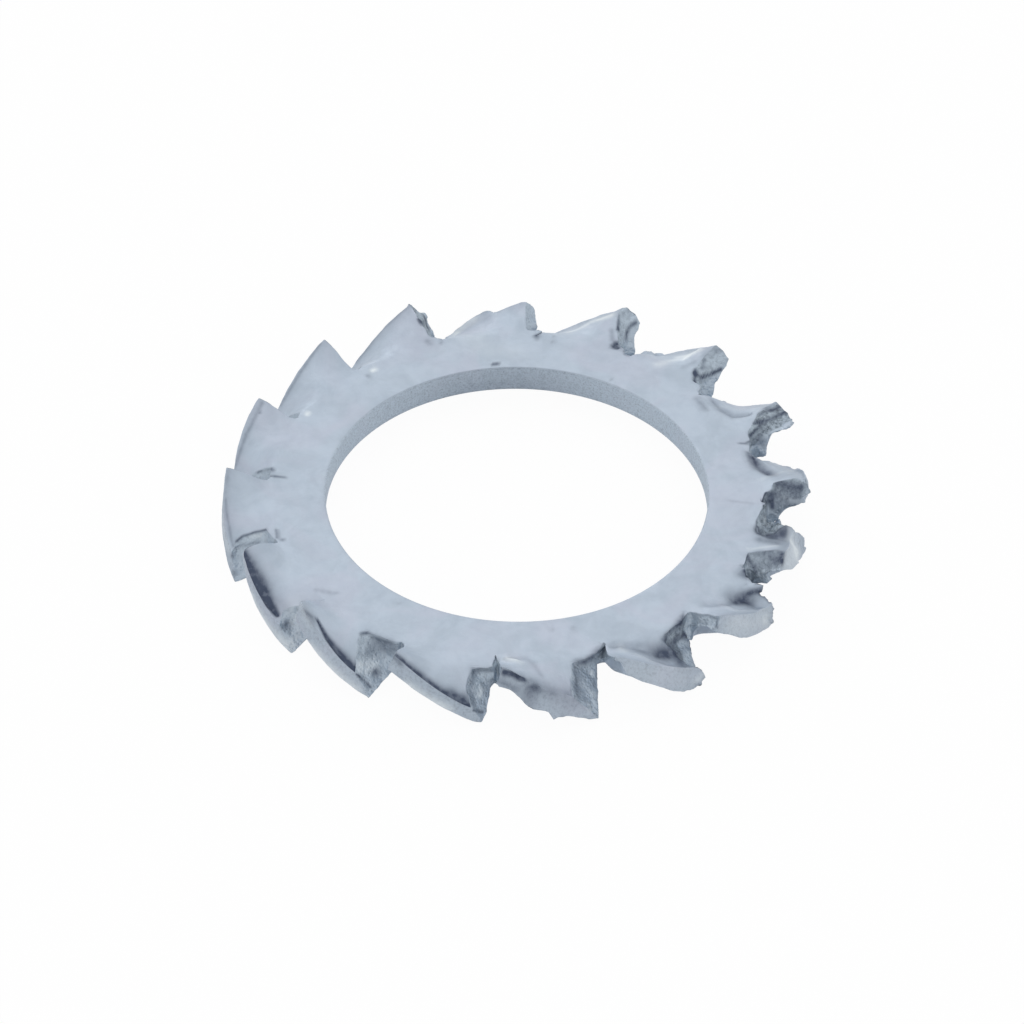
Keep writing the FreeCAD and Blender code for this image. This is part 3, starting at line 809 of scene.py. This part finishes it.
def softenEdges(points, place, net):
    wall = place["raised"] | place["lowered"] | place["rim"]
    edge = (wall.astype(int) + place["top"] + place["under"] > 1) & place["onTooth"]
    edge |= (place["raised"] | place["lowered"]) & place["rim"]
    near = edge.astype(float)
    for _ in range(working["edgeRounds"]):
        near = np.maximum(near, smooth(near, net, working["edgeSpread"]))
    strength = np.clip(near * working["edgeReach"], 0, 1) * working["edgeStrength"]
    return smooth(points, net, strength, working["edgeTimes"])


def rimGroove(place, size):
    # how much of the shallow groove inside the rim each point has
    upperFace = place["onTooth"] & place["top"] & ~place["rim"]
    inside = (1 - place["depth"]) * working["gutterPlace"] / size["gutterWidth"]
    return upperFace * inside * np.exp(1 - inside) * np.clip(place["depth"] * working["gutterStart"], 0, 1)


def strokeShare(points, place, tooth, mark):
    # how strongly each point of this tooth feels the stroke, from 0 to 1, and its move there
    chosen = np.flatnonzero((place["tooth"] == tooth) | ~place["onTooth"])
    path = np.array(mark["path"], float)
    path = toothPoints(np.full(len(path), tooth), path[:, 1], path[:, 0], path[:, 2])
    radii = np.broadcast_to(mark["radius"], len(path)).astype(float)
    moves = np.broadcast_to(mark["move"], (len(path), 3)).astype(float)
    share = np.zeros(len(chosen))
    move = np.zeros((len(chosen), 3))
    for start in range(max(len(path) - 1, 1)):
        end = min(start + 1, len(path) - 1)
        run = path[end] - path[start]
        offset = points[chosen] - path[start]
        along = np.clip(offset @ run / max(run @ run, 1e-9), 0, 1)
        radius = radii[start] + (radii[end] - radii[start]) * along
        apart = np.linalg.norm(offset - along[:, None] * run, axis=1)
        here = np.exp(-working["strokeFade"] * (apart / radius) ** 2)
        closer = here > share
        share = np.where(closer, here, share)
        move[closer] = moves[start] + (moves[end] - moves[start]) * along[closer, None]
    return chosen, share, share[:, None] * move


def applyHandWork(points, place, shade, shine):
    # dents, ridges and creases, all measured on the form as it was before them
    before = points.copy()
    outward = points * (1, 1, 0) / np.linalg.norm(points[:, :2], axis=1, keepdims=True)
    around = np.stack([-outward[:, 1], outward[:, 0], outward[:, 2]], -1)
    for tooth, strokes in handWork.items():
        for mark in strokes:
            chosen, share, move = strokeShare(before, place, tooth, mark)
            points[chosen] += outward[chosen] * move[:, :1] + around[chosen] * move[:, 1:2]
            points[chosen, 2] += move[:, 2]
            if mark["face"]:
                share = share * place[mark["face"]][chosen]
            # painted shade together with dirt, and painted highlights together with wear, added in the
            # stroke's strength
            shade[chosen] += mark["shade"] * share
            shine[chosen] += mark["shine"] * share


def boreShade(points, place):
    # painted shade: the darker back of the bore's wall, most at its foot, and a dark line along its upper
    # edge
    angle = np.degrees(np.arctan2(points[:, 1], points[:, 0]))
    line = np.clip((ring["lineReach"] - np.abs(angle - ring["lineAngle"])) / ring["lineFade"], 0, 1)
    wall = np.exp(-((angle - ring["wallAngle"]) / ring["wallSpread"]) ** 2) * ring["wallShade"]
    wall = place["bore"] * wall * (ring["wallFoot"] - ring["wallRise"] * place["height"])
    return place["boreTop"] * line * ring["edgeLine"] + wall


def tornShift(points, place, size, net):
    # how far the cut and torn faces stand in or out
    ends = place["raised"] * size["tear"] + place["lowered"] * size["tearLowered"]
    torn = (ends + place["rim"] * size["tearRim"]) * place["onTooth"]
    torn = np.maximum(torn, smooth(torn, net, working["tearSpread"]) * working["tearPast"])
    active = torn > 1e-4
    shift = np.zeros(len(points))
    bumps = [share * unevenness(points[active], width, seed) for share, width, seed in working["tearBumps"]]
    shift[active] = sum(bumps) * torn[active]
    return shift


def washerMesh(points, faces, place, size, shade, shine):
    # the mesh, with what its materials read at each point and a material for each face
    mesh = bpy.data.meshes.new("lockWasher")
    mesh.from_pydata((points * mm).tolist(), [], faces.tolist())
    mesh.update()
    thickness = 2 * ring["halfThickness"]
    seam = (place["height"] - size["seamHeight"] - size["seamTilt"] * (place["depth"] - 0.5)) * thickness
    broken = np.where(place["raised"], size["brokenRaised"], size["brokenLowered"])
    # shade and shine carry painted shade and painted highlights, together with dirt and wear
    carried = {"shade": np.clip(shade, 0, 1), "shine": np.clip(shine, 0, 1), "seam": seam, "broken": broken}
    for name, values in carried.items():
        attribute = mesh.attributes.new(name, "FLOAT", "POINT")
        attribute.data.foreach_set("value", np.asarray(values, float))
    whole = {name: place[name][faces].all(1) for name in ("raised", "lowered", "rim", "bore", "onTooth")}
    ends = (whole["raised"] | whole["lowered"]) & whole["onTooth"]
    rims = whole["rim"] & whole["onTooth"]
    slots = np.where(ends, 3, np.where(rims, 1, np.where(whole["bore"], 2, 0)))
    mesh.polygons.foreach_set("material_index", slots.astype(np.int32))
    mesh.polygons.foreach_set("use_smooth", np.ones(len(faces), bool))
    return mesh


def makeWasher():
    points, faces, place = buildLattice()
    net = neighbours(faces, len(points))
    size = sizesAt(place["tooth"])
    points = softenEdges(points, place, net)
    groove = rimGroove(place, size)
    points[:, 2] -= groove * size["gutter"]
    # painted shade in the groove inside the rim, before the strokes add theirs
    shade, shine = groove * size["gutterShade"], np.zeros(len(points))
    applyHandWork(points, place, shade, shine)
    shade += boreShade(points, place)
    points = points + normalsOf(points, faces) * tornShift(points, place, size, net)[:, None]
    points[:, 2] = np.clip(points[:, 2], cadBox[0][2] / mm, cadBox[1][2] / mm)
    washer = bpy.data.objects.new("lockWasher", washerMesh(points, faces, place, size, shade, shine))
    bpy.context.scene.collection.objects.link(washer)
    print("washer:", len(points), "points,", len(faces), "faces")
    return washer


# the finish

finish = {
    "plating": (0.522, 0.602, 0.702),
    "platingCloud": (0.462, 0.538, 0.63),
    "lilac": (0.56, 0.58, 0.69),
    "sheared": (0.444, 0.515, 0.60),
    "shearedGrain": (0.31, 0.355, 0.42),
    "boreWall": (0.565, 0.655, 0.75),
    "torn": (0.422, 0.50, 0.57),
    "tornDark": (0.15, 0.185, 0.23),
    "endWall": (0.492, 0.575, 0.665),
    "crack": (0.07, 0.09, 0.12),
    # the colours that painted shade with dirt, and painted highlights with wear, blend towards
    "shadeDirtColour": (0.06, 0.08, 0.13),
    "highlightWearColour": (0.80, 0.86, 0.90),
    "metallic": 0.55,
    "sheen": 0.5,  # roughness of the plated sheet
    "lilacShare": 0.36,  # of the tints, specks and cracks
    "speckShare": 0.16,
    "crackWidth": 0.014,
    "perMetre": (1000, 1000, 1000),  # textures are laid out in millimetres
}


def plug(tree, value, socket):
    # a number or a colour is set on the socket, and another node's output is linked to it
    if isinstance(value, bpy.types.NodeSocket):
        tree.links.new(value, socket)
    else:
        socket.default_value = value


def add(tree, kind, given=None, **settings):
    # a new node with its settings, and what its inputs are given
    made = tree.nodes.new(kind)
    for name, value in settings.items():
        setattr(made, name, value)
    for name, value in (given or {}).items():
        plug(tree, value, made.inputs[name])
    return made


def blend(tree, share, first, second):
    made = add(tree, "ShaderNodeMix", data_type="RGBA")
    plug(tree, share, made.inputs[0])
    for value, socket in ((first, made.inputs[6]), (second, made.inputs[7])):
        plug(tree, (*value, 1) if isinstance(value, tuple) else value, socket)
    return made.outputs[2]


def calculate(tree, operation, first, second=0.0, clamp=False):
    return add(tree, "ShaderNodeMath", {0: first, 1: second}, operation=operation, use_clamp=clamp).outputs[0]


def times(tree, first, second, clamp=False):
    return calculate(tree, "MULTIPLY", first, second, clamp)


def plus(tree, first, second):
    return calculate(tree, "ADD", first, second)


def scaled(tree, place, by):
    return add(tree, "ShaderNodeVectorMath", {0: place, 1: by}, operation="MULTIPLY").outputs["Vector"]


def ramp(tree, value, low, high, dark=0.0, light=1.0):
    # a soft step from dark to light while the value goes from low to high
    given = {"Value": value, "From Min": low, "From Max": high, "To Min": dark, "To Max": light}
    return add(tree, "ShaderNodeMapRange", given, interpolation_type="SMOOTHSTEP").outputs["Result"]


def cloudy(tree, place, scale, detail, roughness, distortion=0.0):
    # cloudy noise, round 0.5
    given = {"Vector": place, "Scale": scale, "Detail": detail, "Roughness": roughness}
    return add(tree, "ShaderNodeTexNoise", {**given, "Distortion": distortion}).outputs["Fac"]


def carriedValue(tree, name):
    # what the mesh carries at each point
    return add(tree, "ShaderNodeAttribute", attribute_name=name).outputs["Fac"]


def newGroup(name, outputs, inputs=()):
    # a group that is given the place on the washer, and perhaps more
    tree = bpy.data.node_groups.new(name, "ShaderNodeTree")
    tree.interface.new_socket(name="Place", in_out="INPUT", socket_type="NodeSocketVector")
    for label, value in inputs:
        socket = tree.interface.new_socket(name=label, in_out="INPUT", socket_type="NodeSocketFloat")
        socket.default_value = value
    for label in outputs:
        tree.interface.new_socket(name=label, in_out="OUTPUT", socket_type="NodeSocketFloat")
    return tree, tree.nodes.new("NodeGroupInput").outputs, tree.nodes.new("NodeGroupOutput").inputs


def cloudsGroup():
    # soft patches, lilac tints and small specks, all between 0 and 1
    tree, given, out = newGroup("platingClouds", ("Patches", "Lilac", "Specks"))
    place = given["Place"]
    plug(tree, ramp(tree, cloudy(tree, place, 0.9, 5.0, 0.62, 0.5), 0.35, 0.68), out["Patches"])
    plug(tree, ramp(tree, cloudy(tree, place, 0.45, 3.0, 0.5, 0.8), 0.45, 0.70), out["Lilac"])
    plug(tree, ramp(tree, cloudy(tree, place, 7.0, 4.0, 0.7), 0.60, 0.76), out["Specks"])
    return tree


def grainGroup():
    # the metal's fine unevenness, as a height and as a change of gloss
    tree, given, out = newGroup("metalGrain", ("Height", "Gloss"), [("Coarse", 0.3)])
    fine = cloudy(tree, given["Place"], 14.0, 3.0, 0.6)
    wide = cloudy(tree, given["Place"], 3.0, 4.0, 0.6)
    pits = add(tree, "ShaderNodeTexVoronoi", {"Vector": given["Place"], "Scale": 9.0}, feature="F1")
    coarse = times(tree, ramp(tree, pits.outputs["Distance"], 0.0, 0.6), given["Coarse"])
    height = plus(tree, times(tree, fine, 0.4), wide)
    plug(tree, plus(tree, height, coarse), out["Height"])
    plug(tree, ramp(tree, wide, 0.3, 0.7), out["Gloss"])
    return tree


def markGroup():
    # painted shade with dirt in creases, hollows and grooves, and painted highlights with bare rubbed metal
    # on ridges and edges, as the mesh carries them
    tree, given, out = newGroup("shadeDirtHighlightAndWear", ("ShadeAndDirt", "HighlightAndWear"))
    uneven = ramp(tree, cloudy(tree, given["Place"], 4.0, 3.0, 0.55), 0.3, 0.62, 0.82, 1.06)
    plug(tree, times(tree, carriedValue(tree, "shade"), uneven, clamp=True), out["ShadeAndDirt"])
    plug(tree, times(tree, carriedValue(tree, "shine"), uneven, clamp=True), out["HighlightAndWear"])
    return tree


def startMaterial(name, groups):
    # a material, the place on the washer in millimetres, and the outputs of the groups placed in it
    material = bpy.data.materials.new(name)
    material.use_nodes = True
    tree = material.node_tree
    place = scaled(tree, add(tree, "ShaderNodeTexCoord").outputs["Object"], finish["perMetre"])
    placed = {}
    for group in groups:
        held = add(tree, "ShaderNodeGroup", node_tree=group)
        plug(tree, place, held.inputs["Place"])
        placed[group.name] = held
    return material, tree, place, placed


def finishMaterial(tree, placed, colour, roughness, height, bump, depth):
    # painted highlights with wear, then painted shade with dirt, go over the colour, and the height becomes
    # relief this many metres deep
    marks = placed["shadeDirtHighlightAndWear"].outputs
    colour = blend(tree, marks["HighlightAndWear"], colour, finish["highlightWearColour"])
    colour = blend(tree, marks["ShadeAndDirt"], colour, finish["shadeDirtColour"])
    relief = add(tree, "ShaderNodeBump", {"Height": height, "Strength": bump, "Distance": depth})
    shader = tree.nodes["Principled BSDF"].inputs
    plug(tree, colour, shader["Base Color"])
    plug(tree, roughness, shader["Roughness"])
    plug(tree, relief.outputs["Normal"], shader["Normal"])
    plug(tree, finish["metallic"], shader["Metallic"])


def makePlating(clouds, grain, marks):
    material, tree, _, placed = startMaterial("zincPlating", (clouds, grain, marks))
    tone, relief = placed["platingClouds"].outputs, placed["metalGrain"].outputs
    colour = blend(tree, tone["Patches"], finish["plating"], finish["platingCloud"])
    colour = blend(tree, times(tree, tone["Lilac"], finish["lilacShare"]), colour, finish["lilac"])
    colour = blend(tree, times(tree, tone["Specks"], finish["speckShare"]), colour, finish["torn"])
    roughness = ramp(tree, relief["Gloss"], 0.0, 1.0, finish["sheen"] - 0.05, finish["sheen"] + 0.08)
    finishMaterial(tree, placed, colour, roughness, relief["Height"], 0.25, 0.00003)
    return material


def makeSheared(clouds, grain, marks, name="shearedRim", base="sheared", lilacShare=0.3, spotScale=9.0):
    material, tree, place, placed = startMaterial(name, (clouds, grain, marks))
    tone, relief = placed["platingClouds"].outputs, placed["metalGrain"].outputs
    plug(tree, 0.5, placed["metalGrain"].inputs["Coarse"])
    spots = cloudy(tree, place, spotScale, 4.0, 0.75)
    colour = blend(tree, ramp(tree, spots, 0.42, 0.8), finish[base], finish["shearedGrain"])
    colour = blend(tree, times(tree, tone["Lilac"], lilacShare), colour, finish["lilac"])
    roughness = ramp(tree, spots, 0.3, 0.7, 0.46, 0.6)
    finishMaterial(tree, placed, colour, roughness, plus(tree, relief["Height"], spots), 0.4, 0.00003)
    return material


def makeBoreWall(clouds, grain, marks):
    return makeSheared(clouds, grain, marks, "boreWall", "boreWall", 0.12, 15.0)


def makeTorn(grain, marks):
    # an end of a tooth: sheared smooth and finely streaked below the seam, broken and darker above it
    material, tree, place, placed = startMaterial("tornEnd", (grain, marks))
    relief = placed["metalGrain"]
    plug(tree, 0.8, relief.inputs["Coarse"])
    broken = carriedValue(tree, "broken")
    wobble = ramp(tree, cloudy(tree, place, 2.5, 4.0, 0.65), 0.2, 0.8, -0.12, 0.12)
    line = plus(tree, carriedValue(tree, "seam"), wobble)
    above = times(tree, ramp(tree, line, -0.05, 0.07), broken)
    rough = cloudy(tree, place, 2.6, 4.0, 0.62)
    dark = ramp(tree, plus(tree, rough, times(tree, above, 0.1)), 0.46, 0.74)
    split = calculate(tree, "SUBTRACT", cloudy(tree, place, 1.7, 5.0, 0.6), 0.5)
    split = ramp(tree, calculate(tree, "ABSOLUTE", split), 0.0, finish["crackWidth"], 0.8, 0.0)
    crack = times(tree, split, ramp(tree, above, 0.3, 0.8))
    streaks = cloudy(tree, scaled(tree, place, (1.0, 1.0, 0.15)), 8.0, 3.0, 0.6)
    pitted = times(tree, ramp(tree, cloudy(tree, place, 8.0, 2.0, 0.5), 0.5, 0.64, 0.0, 0.6), above)
    smoothTone = blend(tree, ramp(tree, streaks, 0.48, 0.95), finish["endWall"], finish["shearedGrain"])
    patches = times(tree, dark, times(tree, broken, 0.3))
    patchy = blend(tree, patches, smoothTone, finish["tornDark"])
    brokenTone = blend(tree, dark, finish["torn"], finish["tornDark"])
    colour = blend(tree, above, patchy, brokenTone)
    colour = blend(tree, pitted, colour, finish["crack"])
    colour = blend(tree, crack, colour, finish["crack"])
    roughness = ramp(tree, above, 0.0, 1.0, 0.48, 0.65)
    bumps = times(tree, rough, plus(tree, times(tree, above, 2.0), 0.6))
    height = plus(tree, plus(tree, relief.outputs["Height"], bumps), streaks)
    finishMaterial(tree, placed, colour, roughness, calculate(tree, "SUBTRACT", height, crack), 0.5, 0.00004)
    return material


# the table and the light

studio = {
    "tableSize": 1.2,
    "tableBelow": 0.00001,  # how far the table lies under the lowest tooth
    "tableColour": (0.93, 0.935, 0.94),
    "tableRoughness": 0.8,
    "whiteToCamera": 0.96,  # how much of the table the camera sees as plain white
    "worldLight": 0.84,
    "lampPower": 0.35,
    "lampSize": 0.8,
    "lampPlace": (-0.15, 0.2, 0.5),
    "windowPower": 0.16,  # low behind the washer, for the glints on the twisted teeth
    "windowSize": 0.25,
    "windowPlace": (-0.16, 0.6, 0.14),
}


def makeTable():
    half = studio["tableSize"] / 2
    low = cadBox[0].z - studio["tableBelow"]
    corners = [(-half, -half, low), (half, -half, low), (half, half, low), (-half, half, low)]
    mesh = bpy.data.meshes.new("table")
    mesh.from_pydata(corners, [], [(0, 1, 2, 3)])
    table = bpy.data.objects.new("table", mesh)
    bpy.context.scene.collection.objects.link(table)
    material = bpy.data.materials.new("whiteTable")
    material.use_nodes = True
    tree = material.node_tree
    shader = tree.nodes["Principled BSDF"]
    plug(tree, (*studio["tableColour"], 1), shader.inputs["Base Color"])
    plug(tree, studio["tableRoughness"], shader.inputs["Roughness"])
    white = add(tree, "ShaderNodeEmission", {"Color": (1, 1, 1, 1), "Strength": 1.0})
    seen = add(tree, "ShaderNodeLightPath").outputs["Is Camera Ray"]
    share = times(tree, seen, studio["whiteToCamera"])
    mixed = {0: share, 1: shader.outputs["BSDF"], 2: white.outputs["Emission"]}
    mixed = add(tree, "ShaderNodeMixShader", mixed)
    plug(tree, mixed.outputs["Shader"], tree.nodes["Material Output"].inputs["Surface"])
    table.data.materials.append(material)


def makeLamp(name, power, size, spot):
    data = bpy.data.lights.new(name, "AREA")
    data.shape = "DISK"
    data.size = size
    data.energy = power
    lamp = bpy.data.objects.new(name, data)
    lamp.location = spot
    lamp.rotation_mode = "QUATERNION"
    lamp.rotation_quaternion = (-lamp.location).to_track_quat("-Z", "Y")
    bpy.context.scene.collection.objects.link(lamp)


def makeLight():
    world = bpy.data.worlds.new("studioWorld")
    bpy.context.scene.world = world
    world.use_nodes = True
    background = world.node_tree.nodes["Background"]
    background.inputs["Color"].default_value = (1, 1, 1, 1)
    background.inputs["Strength"].default_value = studio["worldLight"]
    makeLamp("overheadLamp", studio["lampPower"], studio["lampSize"], studio["lampPlace"])
    makeLamp("lowWindow", studio["windowPower"], studio["windowSize"], studio["windowPlace"])


makeCamera()
print("camera set")
washer = makeWasher()
clouds, grain, marks = cloudsGroup(), grainGroup(), markGroup()
washer.data.materials.append(makePlating(clouds, grain, marks))
washer.data.materials.append(makeSheared(clouds, grain, marks))
washer.data.materials.append(makeBoreWall(clouds, grain, marks))
washer.data.materials.append(makeTorn(grain, marks))
print("finish made")
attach(washer, "root")
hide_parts("lock_washer")
makeTable()
makeLight()
bpy.context.scene.view_settings.view_transform = "Standard"
print("table and light made")
